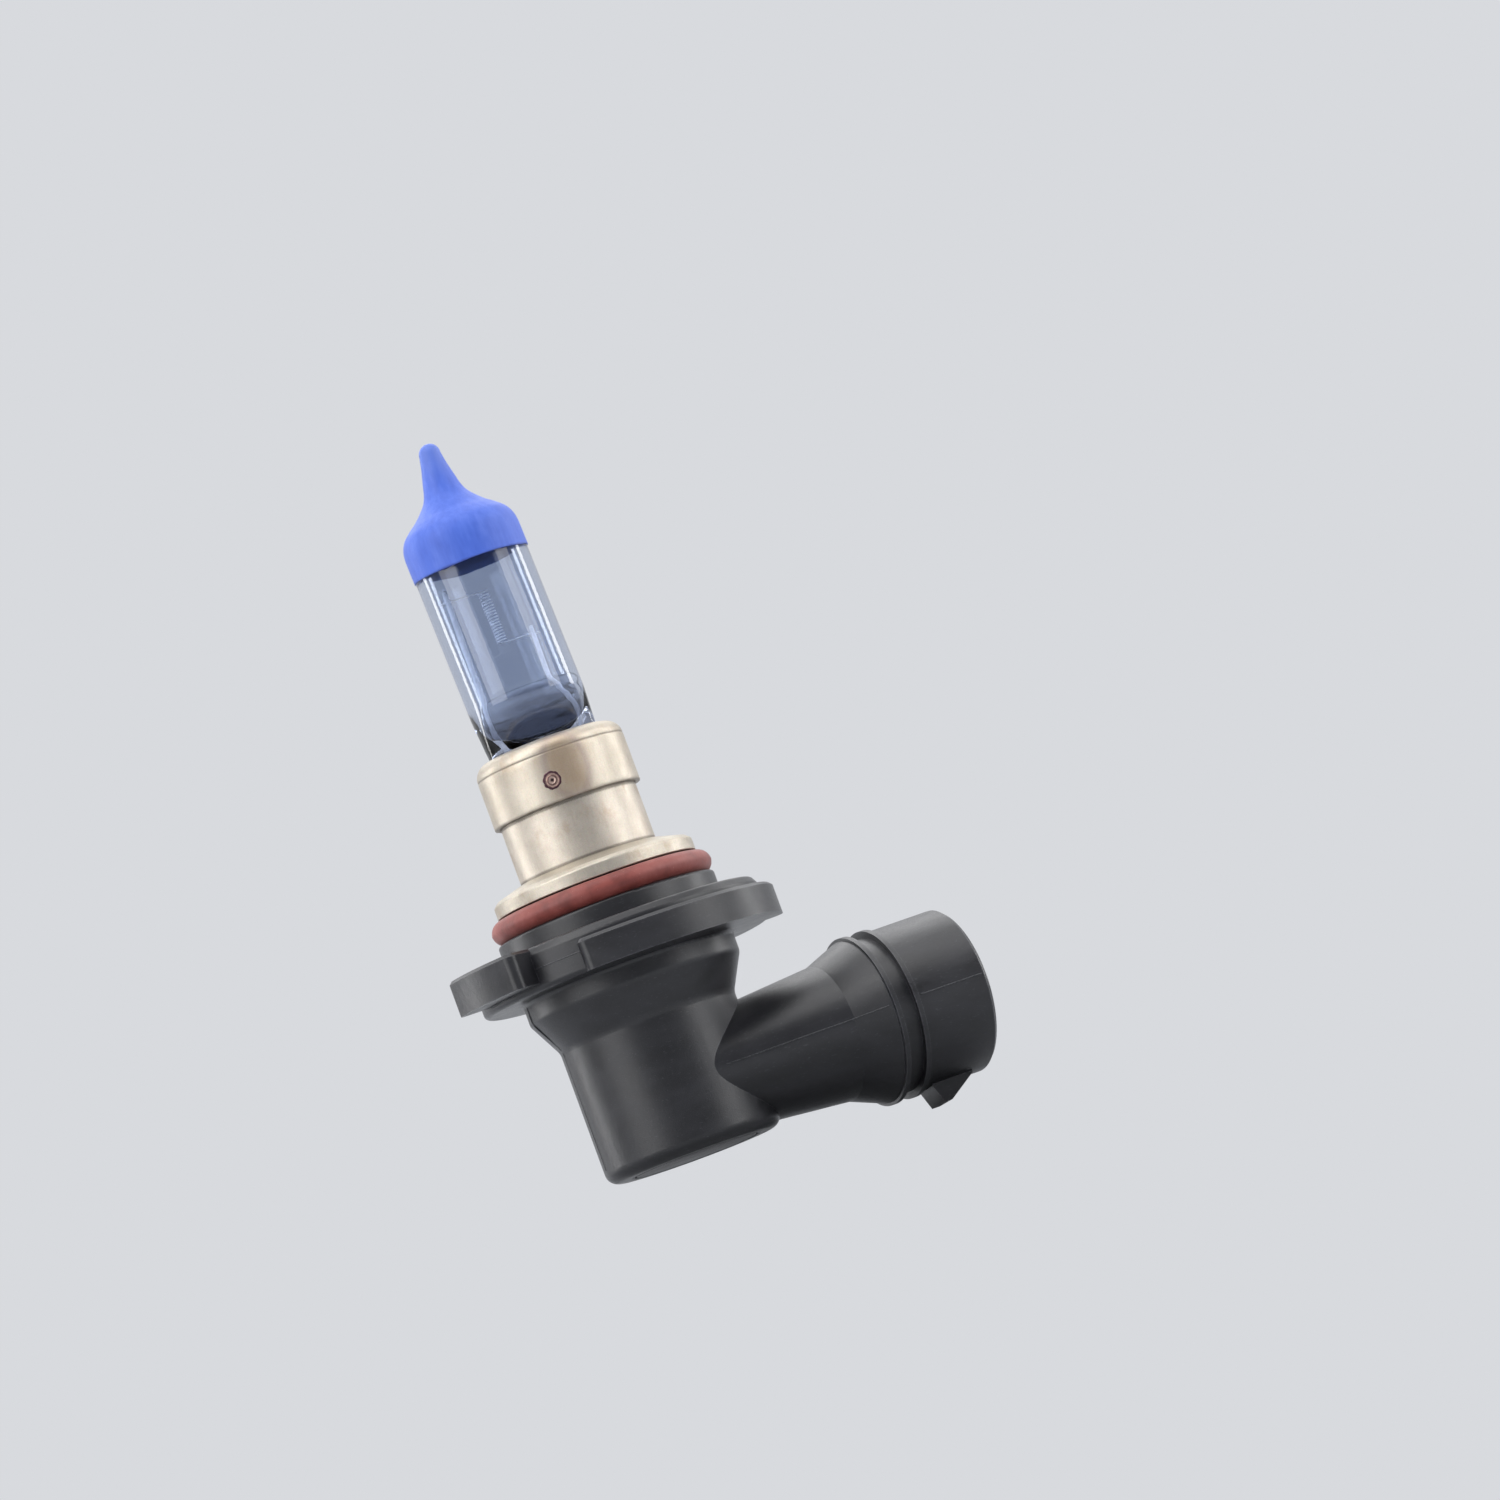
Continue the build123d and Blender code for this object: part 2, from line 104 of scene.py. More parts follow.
# ---- mesh helpers --------------------------------------------------------------------------
def add_piece(name, points, faces, material, sharp=None, keep_normals=False, place=None):
    """A piece of the object from points in mm, which rides on the one body."""
    mesh = bpy.data.meshes.new(name)
    mesh.from_pydata([Vector(p) * MM for p in points], [], faces)
    work = bmesh.new()
    work.from_mesh(mesh)
    bmesh.ops.remove_doubles(work, verts=work.verts, dist=2e-7)
    bmesh.ops.dissolve_degenerate(work, edges=work.edges, dist=1e-8)
    if not keep_normals:
        bmesh.ops.recalc_face_normals(work, faces=work.faces)
    work.to_mesh(mesh)
    work.free()
    mesh.materials.append(material)
    mesh.polygons.foreach_set("use_smooth", [True] * len(mesh.polygons))
    if sharp:
        mesh.set_sharp_from_angle(angle=radians(sharp))
    piece = bpy.data.objects.new(name, mesh)
    scene.collection.objects.link(piece)
    if place is not None:
        piece.matrix_world = place
    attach(piece, "root")
    return piece


def turned(profile, segments, closed=False, shift=None):
    """Points and faces of a (radius, height) outline turned round Z. shift moves each point."""
    points, faces = [], []
    for r, z in profile:
        for i in range(segments):
            a = 2 * pi * i / segments
            p = Vector((r * cos(a), r * sin(a), z))
            points.append(shift(p, a) if shift else p)
    return points, grid_faces(len(profile), segments, closed)


def grid_faces(rows, columns, wrap_rows=False):
    """Quads between rows of points, each row a closed loop as long as the others."""
    faces = []
    for j in range(rows if wrap_rows else rows - 1):
        k = (j + 1) % rows
        for i in range(columns):
            n = (i + 1) % columns
            faces.append((j * columns + i, j * columns + n, k * columns + n, k * columns + i))
    return faces


def curve_through(points, steps):
    """A smooth line through the points, by Catmull-Rom, with that many steps between two."""
    pts = [Vector(p) for p in points]
    pts = [2 * pts[0] - pts[1]] + pts + [2 * pts[-1] - pts[-2]]
    line = []
    for a, b, c, d in zip(pts, pts[1:], pts[2:], pts[3:]):
        for s in range(steps):
            t = s / steps
            line.append(0.5 * (2 * b + (c - a) * t + (2 * a - 5 * b + 4 * c - d) * t * t
                               + (3 * b - a - 3 * c + d) * t ** 3))
    line.append(pts[-2])
    return line


def tube(path, radius, sides):
    """A round tube along a path with closed, rounded ends. radius may be a call of (share)."""
    path = [Vector(p) for p in path]
    size = radius if callable(radius) else (lambda share: radius)
    forward = (path[1] - path[0]).normalized()
    side = forward.orthogonal().normalized()
    points, rows = [], 0

    def row(centre, r):
        nonlocal rows
        up = forward.cross(side)
        for i in range(sides):
            a = 2 * pi * i / sides
            points.append(centre + r * (cos(a) * side + sin(a) * up))
        rows += 1

    for at in (1.0, 0.7, 0.3):
        row(path[0] - forward * size(0) * 0.5 * at, size(0) * sqrt(1 - at * at))
    for k, p in enumerate(path):
        ahead = path[min(k + 1, len(path) - 1)] - path[max(k - 1, 0)]
        new = ahead.normalized()
        side = (side - new * side.dot(new)).normalized()
        forward = new
        row(p, size(k / (len(path) - 1)))
    for at in (0.3, 0.7, 1.0):
        row(path[-1] + forward * size(1) * 0.5 * at, size(1) * sqrt(1 - at * at))
    return points, grid_faces(rows, sides)


def joined(*parts):
    """Several (points, faces) as one."""
    points, faces = [], []
    for p, f in parts:
        faces += [tuple(len(points) + i for i in face) for face in f]
        points += list(p)
    return points, faces


def lumpy(p, size, seed):
    """Smooth noise from -1 to 1 at a point in mm, with lumps of about that size."""
    return noise.noise(Vector(p) / size + Vector((seed * 7.3, seed * 3.1, seed * 5.7)))


# ---- material helpers ----------------------------------------------------------------------
def srgb(r, g, b):
    """A linear colour from 0-255 display values."""
    return tuple((c / 255 / 12.92) if c <= 10 else ((c / 255 + 0.055) / 1.055) ** 2.4
                 for c in (r, g, b)) + (1.0,)


class Look:
    """One material, with a short call for each kind of node in it."""

    def __init__(self, name):
        self.mat = bpy.data.materials.new(name)
        self.mat.use_nodes = True
        self.tree = self.mat.node_tree
        self.tree.nodes.clear()
        self.out = self.tree.nodes.new("ShaderNodeOutputMaterial")
        place = self.node("ShaderNodeTexCoord").outputs["Object"]
        self.mm = self.node("ShaderNodeVectorMath", {0: place, "Scale": 1 / MM},
                            operation="SCALE").outputs[0]
        xyz = self.node("ShaderNodeSeparateXYZ", {0: self.mm}).outputs
        self.x, self.y, self.z = xyz[0], xyz[1], xyz[2]

    def node(self, kind, inputs=None, **settings):
        """A node with those settings, each input a value or a link."""
        made = self.tree.nodes.new(kind)
        for key, value in settings.items():
            setattr(made, key, value)
        for key, value in (inputs or {}).items():
            if isinstance(value, bpy.types.NodeSocket):
                self.tree.links.new(value, made.inputs[key])
            else:
                made.inputs[key].default_value = value
        return made

    def math(self, operation, a, b=0.0, c=0.0):
        return self.node("ShaderNodeMath", {0: a, 1: b, 2: c}, operation=operation).outputs[0]

    def stretch(self, x, y, z):
        """The point in mm with each axis scaled, for streaks."""
        return self.node("ShaderNodeVectorMath", {0: self.mm, 1: (x, y, z)},
                         operation="MULTIPLY").outputs[0]

    def noise(self, scale, detail=3.0, rough=0.55, at=None):
        return self.node("ShaderNodeTexNoise", {
            "Vector": at or self.mm, "Scale": scale, "Detail": detail,
            "Roughness": rough}).outputs["Fac"]

    def cells(self, scale):
        """Distance to the nearest of scattered points, for pits and specks."""
        return self.node("ShaderNodeTexVoronoi",
                         {"Vector": self.mm, "Scale": scale}).outputs["Distance"]

    def band(self, value, low, high, to_low=0.0, to_high=1.0):
        """value taken from low-high to to_low-to_high, smoothly, and held at the ends."""
        return self.node("ShaderNodeMapRange", {
            "Value": value, "From Min": low, "From Max": high,
            "To Min": to_low, "To Max": to_high}, interpolation_type="SMOOTHSTEP").outputs[0]

    def ramp(self, value, stops):
        """A colour from (position, colour) stops."""
        made = self.node("ShaderNodeValToRGB", {0: value})
        line = made.color_ramp
        line.elements[0].position, line.elements[0].color = stops[0]
        line.elements[1].position, line.elements[1].color = stops[-1]
        for at, colour in stops[1:-1]:
            line.elements.new(at).color = colour
        return made.outputs[0]

    def mix(self, share, a, b, blend="MIX"):
        made = self.node("ShaderNodeMix", data_type="RGBA", blend_type=blend)
        for key, value in ((0, share), (6, a), (7, b)):
            if isinstance(value, bpy.types.NodeSocket):
                self.tree.links.new(value, made.inputs[key])
            else:
                made.inputs[key].default_value = value
        return made.outputs[2]

    def bump(self, height, distance, strength):
        """A bumped normal, with distance in mm."""
        return self.node("ShaderNodeBump", {
            "Height": height, "Distance": distance * MM, "Strength": strength}).outputs[0]

    def finish(self, **inputs):
        """Ends in a Principled shader with those inputs, underscores for spaces."""
        shader = self.node("ShaderNodeBsdfPrincipled",
                           {k.replace("_", " "): v for k, v in inputs.items()})
        self.tree.links.new(shader.outputs[0], self.out.inputs["Surface"])
        return shader


def quartz_look():
    """Hard glass with a steel-blue tint, stronger near the seal, painted shade on the face-on
    glass near the seal, and faint drawn streaks.
    """
    k = Look("quartz_glass")
    cloud = k.noise(0.35, 2.0)
    rim = k.node("ShaderNodeLayerWeight", {"Blend": 0.35}).outputs["Facing"]
    low = k.band(k.z, 23.9, 20.6)
    body = k.mix(cloud, srgb(199, 207, 222), srgb(188, 198, 218))
    tint = k.mix(k.math("MULTIPLY", k.band(rim, 0.45, 0.95), 0.6), body, srgb(128, 152, 216))
    # painted shade: the face-on glass near the seal is painted dark grey, standing in for the dark
    # seal seen through it
    tint = k.mix(k.math("MULTIPLY", low, k.band(rim, 0.75, 0.30, 0.0, 0.9)), tint,
                 srgb(120, 126, 142))
    tint = k.mix(k.math("MULTIPLY", low, k.band(rim, 0.45, 0.9)), tint, srgb(70, 112, 232))
    streaks = k.noise(1.1, 3.0, 0.5, k.stretch(1, 1, 0.06))
    skin = k.noise(4.0, 2.0)
    height = k.math("MULTIPLY_ADD", streaks, 0.8, k.math("MULTIPLY", skin, 0.2))
    shader = k.finish(Base_Color=tint, Roughness=0.0, IOR=1.46, Transmission_Weight=1.0,
                      Normal=k.bump(height, 0.02, 0.35))
    clear = k.node("ShaderNodeBsdfTransparent", {"Color": srgb(243, 247, 253)})
    path = k.node("ShaderNodeLightPath")
    both = k.node("ShaderNodeMixShader", {0: path.outputs["Is Shadow Ray"],
                                          1: shader.outputs[0], 2: clear.outputs[0]})
    k.tree.links.new(both.outputs[0], k.out.inputs["Surface"])
    return k.mat


def coating_look():
    """Matte blue interference coating: dip streaks, pin holes, a dark lower edge, and painted
    light on its inner face.
    """
    k = Look("blue_interference_coating")
    broad = k.noise(0.22, 3.0, 0.6)
    drips = k.noise(1.6, 4.0, 0.6, k.stretch(1, 1, 0.18))
    shade = k.math("MULTIPLY_ADD", drips, 0.45, k.math("MULTIPLY", broad, 0.55))
    colour = k.ramp(shade, [(0.3, srgb(56, 88, 186)), (0.5, srgb(70, 102, 200)),
                            (0.72, srgb(90, 120, 212))])
    tip = k.band(k.z, 45.0, 49.0)
    colour = k.mix(k.math("MULTIPLY", tip, 0.45), colour, srgb(104, 126, 196))
    edge = k.band(k.math("MULTIPLY_ADD", k.noise(1.4, 2.0), 0.25, k.z),
                  coat_lo.z + 0.42, coat_lo.z + 0.12)
    colour = k.mix(k.math("MULTIPLY", edge, 0.75), colour, srgb(30, 44, 120))
    pores = k.band(k.cells(3.4), 0.10, 0.03)
    colour = k.mix(k.math("MULTIPLY", pores, 0.35), colour, srgb(38, 60, 150))
    # painted light: the coating's inner face, towards the glass, is painted pale blue as if lit
    # through the thin film
    outward = k.node("ShaderNodeCombineXYZ", {0: k.x, 1: k.y, 2: 0.0}).outputs[0]
    faces_out = k.node("ShaderNodeVectorMath", {
        0: outward, 1: k.node("ShaderNodeNewGeometry").outputs["Normal"]},
        operation="DOT_PRODUCT").outputs["Value"]
    colour = k.mix(k.band(faces_out, -0.5, -3.0), colour, srgb(176, 196, 250))
    fine = k.noise(9.0, 4.0, 0.7)
    height = k.math("SUBTRACT", k.math("MULTIPLY_ADD", fine, 0.5, shade),
                    k.math("MULTIPLY", pores, 0.5))
    k.finish(Base_Color=colour, Roughness=k.band(fine, 0.3, 0.7, 0.42, 0.62),
             Specular_IOR_Level=0.45, Sheen_Weight=0.12, Sheen_Roughness=0.4,
             Normal=k.bump(height, 0.03, 0.5))
    return k.mat


def wire_look(name, light, dark, rough, along, metal=0.9):
    """Drawn wire: fine lines along it, patches of oxide and a satin shine."""
    k = Look(name)
    drawn = k.noise(7.0, 3.0, 0.6, along(k))
    patch = k.noise(1.3, 3.0)
    colour = k.mix(k.band(patch, 0.35, 0.7), light, dark)
    colour = k.mix(k.math("MULTIPLY", drawn, 0.35), colour, dark)
    k.finish(Base_Color=colour, Metallic=metal,
             Roughness=k.band(patch, 0.3, 0.7, rough - 0.08, rough + 0.1),
             Normal=k.bump(drawn, 0.01, 0.5))
    return k.mat


def steel_look(name, light, dark, warm, welds=False, low=0.0, high=1.0, joint_shade=()):
    """Stamped nickel-plated steel: speckled grain, draw lines, stains and heat tint.

    Stains grow from height low to high, and joint_shade gives the heights of painted shade lines
    where parts meet.
    """
    k = Look(name)
    grain = k.noise(11.0, 5.0, 0.75)
    flecks = k.cells(7.5)
    cloud = k.noise(0.45, 4.0, 0.6)
    lines = k.noise(5.0, 2.0, 0.5, k.stretch(0.25, 0.25, 3.0))
    colour = k.mix(k.band(cloud, 0.25, 0.75, 0.0, 0.6), light, dark)
    tone = k.node("ShaderNodeTexNoise", {"Vector": k.mm, "Scale": 6.0, "Detail": 4.0})
    colour = k.mix(0.14, colour, tone.outputs["Color"], "OVERLAY")
    colour = k.mix(k.band(grain, 0.42, 0.68, 0.0, 0.45), colour, dark)
    brushed = k.noise(4.5, 4.0, 0.65, k.stretch(1, 1, 0.09))
    colour = k.mix(k.band(brushed, 0.48, 0.70, 0.0, 0.10), colour, srgb(124, 114, 100))
    pits = k.band(k.cells(4.2), 0.13, 0.05)
    colour = k.mix(k.math("MULTIPLY", pits, 0.5), colour, srgb(92, 80, 66))
    stain = k.noise(0.55, 5.0, 0.65, k.stretch(1, 1, 0.6))
    mask = k.band(stain, 0.50, 0.74)
    climb = k.band(k.z, low, high)
    colour = k.mix(k.math("MULTIPLY", k.math("MULTIPLY", mask, climb), 0.38), colour, warm)
    if welds:
        near = None
        for angle in WELD_ANGLES:
            a = radians(angle + 14)
            spot = (COLLAR_R * cos(a), COLLAR_R * sin(a), (WELD_Z + 1.0) * 0.6)
            away = k.node("ShaderNodeVectorMath", {0: k.stretch(1, 1, 0.6), 1: spot},
                          operation="DISTANCE").outputs["Value"]
            near = away if near is None else k.math("MINIMUM", near, away)
        rough_edge = k.math("MULTIPLY_ADD", k.math("SUBTRACT", stain, 0.5), 3.0, near)
        heat = k.band(rough_edge, 3.4, 0.6)
        colour = k.mix(k.math("MULTIPLY", heat, 0.42), colour, warm)
        ring = k.math("MULTIPLY", k.band(near, 1.5, 1.9), k.band(near, 2.6, 2.0))
        colour = k.mix(k.math("MULTIPLY", ring, 0.20), colour, srgb(120, 100, 120))
        crease = k.math("ABSOLUTE", k.math("SUBTRACT", k.z, collar_hi.z - 1.52))
        shade = k.band(crease, 0.13, 0.03)
        colour = k.mix(k.math("MULTIPLY", shade, 0.45), colour, srgb(88, 78, 68))
        foot = k.band(k.math("MULTIPLY_ADD", grain, 0.25, k.z),
                      collar_lo.z + 0.42, collar_lo.z + 0.16)
        colour = k.mix(k.math("MULTIPLY", foot, 0.55), colour, srgb(84, 74, 64))
    # painted shade: the bands below darken the steel where it meets the cap ring and under the
    # collar's edge
    wavy = k.math("MULTIPLY_ADD", grain, 0.3, k.z)
    for line in joint_shade:
        seam = k.band(k.math("ABSOLUTE", k.math("SUBTRACT", wavy, line + 0.15)), 0.26, 0.06)
        colour = k.mix(k.math("MULTIPLY", seam, 0.6), colour, srgb(74, 65, 54))
    height = k.math("MULTIPLY_ADD", lines, 0.35, k.math("MULTIPLY_ADD", grain, 0.6,
                    k.math("MULTIPLY", flecks, 0.3)))
    k.finish(Base_Color=colour, Metallic=0.80,
             Roughness=k.band(grain, 0.3, 0.7, 0.34, 0.52),
             Normal=k.bump(height, 0.03, 0.55))
    return k.mat


def weld_look():
    """Laser weld spot: rings of heat colour round a dark pit. The spot's own Z points out."""
    k = Look("laser_weld")
    flat = k.node("ShaderNodeCombineXYZ", {0: k.x, 1: k.y, 2: 0.0}).outputs[0]
    away = k.node("ShaderNodeVectorMath", {0: flat}, operation="LENGTH").outputs["Value"]
    wave = k.noise(3.2, 4.0, 0.6)
    at = k.math("MULTIPLY_ADD", k.math("SUBTRACT", wave, 0.5), 0.22, away)
    share = k.math("DIVIDE", at, WELD_R)
    colour = k.ramp(share, [
        (0.00, srgb(46, 36, 38)), (0.13, srgb(58, 44, 46)), (0.20, srgb(168, 142, 132)),
        (0.34, srgb(192, 168, 156)), (0.42, srgb(84, 62, 62)), (0.50, srgb(128, 100, 92)),
        (0.60, srgb(186, 160, 148)), (0.70, srgb(140, 110, 104)), (0.76, srgb(66, 44, 52)),
        (0.94, srgb(80, 54, 62)), (1.00, srgb(176, 160, 146))])
    grain = k.noise(12.0, 4.0, 0.7)
    colour = k.mix(k.band(grain, 0.4, 0.7, 0.0, 0.35), colour, srgb(60, 46, 46))
    k.finish(Base_Color=colour, Metallic=0.85, Roughness=k.band(grain, 0.3, 0.7, 0.32, 0.55),
             Normal=k.bump(grain, 0.02, 0.6))
    return k.mat


def rubber_look():
    """Brick-red silicone rubber with bloom, dust specks and faint flow marks."""
    k = Look("seal_rubber_red")
    bloom = k.noise(0.5, 4.0, 0.6)
    fine = k.noise(8.0, 4.0, 0.7)
    colour = k.ramp(bloom, [(0.3, srgb(108, 46, 41)), (0.5, srgb(130, 60, 53)),
                            (0.75, srgb(146, 77, 70))])
    dust = k.band(k.cells(2.6), 0.10, 0.04)
    colour = k.mix(k.math("MULTIPLY", dust, 0.4), colour, srgb(186, 150, 140))
    k.finish(Base_Color=colour, Roughness=k.band(fine, 0.3, 0.7, 0.42, 0.60),
             Specular_IOR_Level=0.5, Sheen_Weight=0.25, Sheen_Roughness=0.45,
             Sheen_Tint=srgb(220, 190, 186), Subsurface_Weight=0.08,
             Subsurface_Radius=(0.0008, 0.0003, 0.0002),
             Normal=k.bump(k.math("MULTIPLY_ADD", fine, 0.4, bloom), 0.03, 0.45))
    return k.mat


def plastic_look(name, dark, light, rough):
    """Black glass-filled nylon: fibre flecks, flow lines, a satin skin and faint scuffs."""
    k = Look(name)
    grain = k.noise(7.0, 5.0, 0.7)
    flow = k.noise(0.5, 3.0, 0.55, k.stretch(0.35, 1, 1))
    fibre = k.noise(9.0, 2.0, 0.5, k.stretch(0.22, 1, 1))
    colour = k.mix(k.band(flow, 0.3, 0.7), dark, light)
    colour = k.mix(k.band(fibre, 0.62, 0.76, 0.0, 0.30), colour, srgb(86, 86, 92))
    scuff = k.band(k.noise(2.6, 5.0, 0.75, k.stretch(1, 0.3, 1.4)), 0.66, 0.78)
    colour = k.mix(k.math("MULTIPLY", scuff, 0.18), colour, srgb(120, 120, 128))
    softened = k.node("ShaderNodeBevel", {"Radius": 0.22 * MM}, samples=4).outputs[0]
    flat = k.node("ShaderNodeNewGeometry").outputs["Normal"]
    turn = k.node("ShaderNodeVectorMath", {0: softened, 1: flat},
                  operation="DOT_PRODUCT").outputs["Value"]
    # edge wear and painted highlight: rounded edges are painted a lighter grey in patches
    edge_wear_and_highlight = k.math("MULTIPLY", k.band(turn, 0.995, 0.93), k.band(grain, 0.38, 0.62))
    colour = k.mix(k.math("MULTIPLY", edge_wear_and_highlight, 0.40), colour, srgb(112, 112, 118))
    shine = k.math("MULTIPLY_ADD", k.math("SUBTRACT", flow, 0.5), 0.16,
                   k.band(grain, 0.3, 0.7, rough - 0.05, rough + 0.08))
    height = k.math("MULTIPLY_ADD", grain, 0.7, k.math("MULTIPLY", flow, 1.2))
    k.finish(Base_Color=colour, Roughness=shine, Specular_IOR_Level=0.55,
             Coat_Weight=0.06, Coat_Roughness=0.35, Normal=k.bump(height, 0.035, 0.55))
    return k.mat


def terminal_look():
    """Tin-plated brass blades: rolling lines, soft fingerprints and tarnish."""
    k = Look("tinned_brass")
    rolled = k.noise(6.0, 3.0, 0.6, k.stretch(0.1, 1, 1))
    tarnish = k.noise(0.9, 4.0, 0.65)
    colour = k.mix(k.band(tarnish, 0.35, 0.7), srgb(208, 205, 196), srgb(176, 166, 142))
    colour = k.mix(k.math("MULTIPLY", rolled, 0.25), colour, srgb(140, 134, 120))
    k.finish(Base_Color=colour, Metallic=1.0, Roughness=k.band(rolled, 0.3, 0.7, 0.24, 0.4),
             Normal=k.bump(rolled, 0.015, 0.5))
    return k.mat


def resin_look():
    """Dark potting resin with a glossy, slightly uneven skin."""
    k = Look("potting_resin")
    swirl = k.noise(0.6, 4.0)
    colour = k.mix(swirl, srgb(40, 34, 30), srgb(66, 56, 46))
    k.finish(Base_Color=colour, Roughness=k.band(swirl, 0.3, 0.7, 0.16, 0.3),
             Normal=k.bump(swirl, 0.1, 0.4))
    return k.mat


quartz = quartz_look()
coating_blue = coating_look()
tungsten = wire_look("tungsten_wire", srgb(250, 251, 254), srgb(216, 219, 226), 0.5,
                     lambda k: k.stretch(1, 1, 1), metal=0.15)
moly = wire_look("molybdenum_wire", srgb(248, 249, 252), srgb(214, 217, 224), 0.4,
                 lambda k: k.stretch(1, 1, 0.1), metal=0.15)
foil_metal = wire_look("molybdenum_foil", srgb(190, 190, 194), srgb(140, 138, 142), 0.36,
                       lambda k: k.stretch(1, 1, 0.1))
collar_steel = steel_look("collar_steel", srgb(200, 191, 177), srgb(176, 166, 150),
                          srgb(168, 128, 82), welds=True, low=14.0, high=19.0)
sleeve_steel = steel_look("sleeve_steel", srgb(206, 197, 184), srgb(178, 168, 154),
                          srgb(150, 106, 68), low=4.0, high=12.5,
                          joint_shade=(ring_hi.z + 0.03, collar_lo.z - 0.12))
ring_steel = steel_look("ring_steel", srgb(202, 194, 180), srgb(170, 162, 148),
                        srgb(158, 128, 98), low=6.9, high=5.0,
                        joint_shade=(ring_hi.z + 0.05,))
weld_metal = weld_look()
red_rubber = rubber_look()
black_plastic = plastic_look("black_nylon", srgb(24, 24, 27), srgb(33, 33, 37), 0.36)
cap_plastic = plastic_look("black_nylon_cap", srgb(22, 22, 24), srgb(30, 30, 33), 0.42)
tinned = terminal_look()
resin = resin_look()

for names, material in (
        (("filament",), tungsten),
        (("long_lead", "short_lead", "leg_sleeve", "outer_lead_long_side",
          "outer_lead_short_side"), moly),
        (("foil_long_side", "foil_short_side"), foil_metal),
        (("base_sleeve",), sleeve_steel), (("pinch_clip", "cap_ring"), ring_steel),
        (("focusing_collar",), collar_steel), (("collar_welds",), weld_metal),
        (("o_ring",), red_rubber), (("plug_housing",), black_plastic),
        (("back_cap",), cap_plastic), (("terminal_left", "terminal_right"), tinned),
        (("terminal_seal",), resin), (("glass_envelope",), quartz),
        (("tip_coating",), coating_blue)):
    for name in names:
        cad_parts[name].material_slots[0].material = material


# ---- quartz capsule ------------------------------------------------------------------------
def dome_profile(grow, steps=10):
    """Outline of dome and drawn tip, from the tube up to the axis, grown outwards."""
    r = TUBE_R + grow
    top = glass_hi.z
    shoulder = curve_through(
        [(r, DOME_Z - 0.9), (r, DOME_Z), (0.975 * r, DOME_Z + 0.95), (0.9 * r, DOME_Z + 1.8),
         (0.76 * r, DOME_Z + 2.55), (0.6 * r, DOME_Z + 3.15 + grow),
         (0.41 * r, DOME_Z + 4.3 + grow), (0.33 * r, DOME_Z + 5.3), (0.28 * r, DOME_Z + 6.4),
         (0.22 * r, top - 2.1), (0.95 + grow, top - 1.0)], steps)[steps:]
    end = [((0.95 + grow) * cos(a) ** 0.9, top - 1.0 + (1.0 + grow) * sin(a))
           for a in (radians(x) for x in range(12, 90, 12))]
    return [(p.x, p.y) for p in shoulder] + end + [(0.0, top + grow)]


def leaning(p):
    """The capsule and what is in it sit a little askew in the cap."""
    return Vector(p) + LEAN_WAY * LEAN * max(0.0, p[2] - LEAN_Z)


def drawn(p):
    """Moves a point of the capsule: the tip bends a little, and the dome isn't quite round."""
    rise = max(0.0, p.z - DOME_Z)
    bend = min(rise / (glass_hi.z - DOME_Z), 1.0) ** 2.2 * 0.27
    wobble = 1 + 0.012 * lumpy(p, 6.0, 2) * min(rise / 2.0, 1.0)
    swell = wobble * (1 + 0.0018 * lumpy((p.x, p.y, p.z * 0.2), 2.2, 3))
    return leaning(Vector((p.x * swell, p.y * swell, p.z)) - LEAN_WAY * bend)


def seal_radius(x, y):
    """Distance from the axis to the flat seal's outline, towards (x, y)."""
    cx, sy = abs(x), abs(y)
    p, q = PINCH_A - PINCH_C, PINCH_B - PINCH_C
    if cx * q >= sy * PINCH_A:
        return PINCH_A / cx
    if sy * p >= cx * PINCH_B:
        return PINCH_B / sy
    along = cx * p + sy * q
    return along + sqrt(max(0.0, along * along - (p * p + q * q - PINCH_C ** 2)))


def capsule_row(z, columns):
    """One ring of the capsule's outside: round above the press, flat in the seal."""
    t = min(max((PRESS_TOP - z) / (PRESS_TOP - PRESS_Z), 0.0), 1.0)
    t = t * t * (3 - 2 * t)
    ring = []
    for i in range(columns):
        a = 2 * pi * i / columns
        d = Vector((cos(a) * (TUBE_R * (1 - t) + PINCH_A * t),
                    sin(a) * (TUBE_R * (1 - t) + PINCH_B * t))).normalized()
        r = TUBE_R * (1 - t) + seal_radius(d.x, d.y) * t
        dent = 0.06 * t * lumpy((d.x * r, d.y * r, z), 1.4, 5)
        ring.append(Vector((d.x * (r + dent), d.y * (r + dent), z)))
    return ring


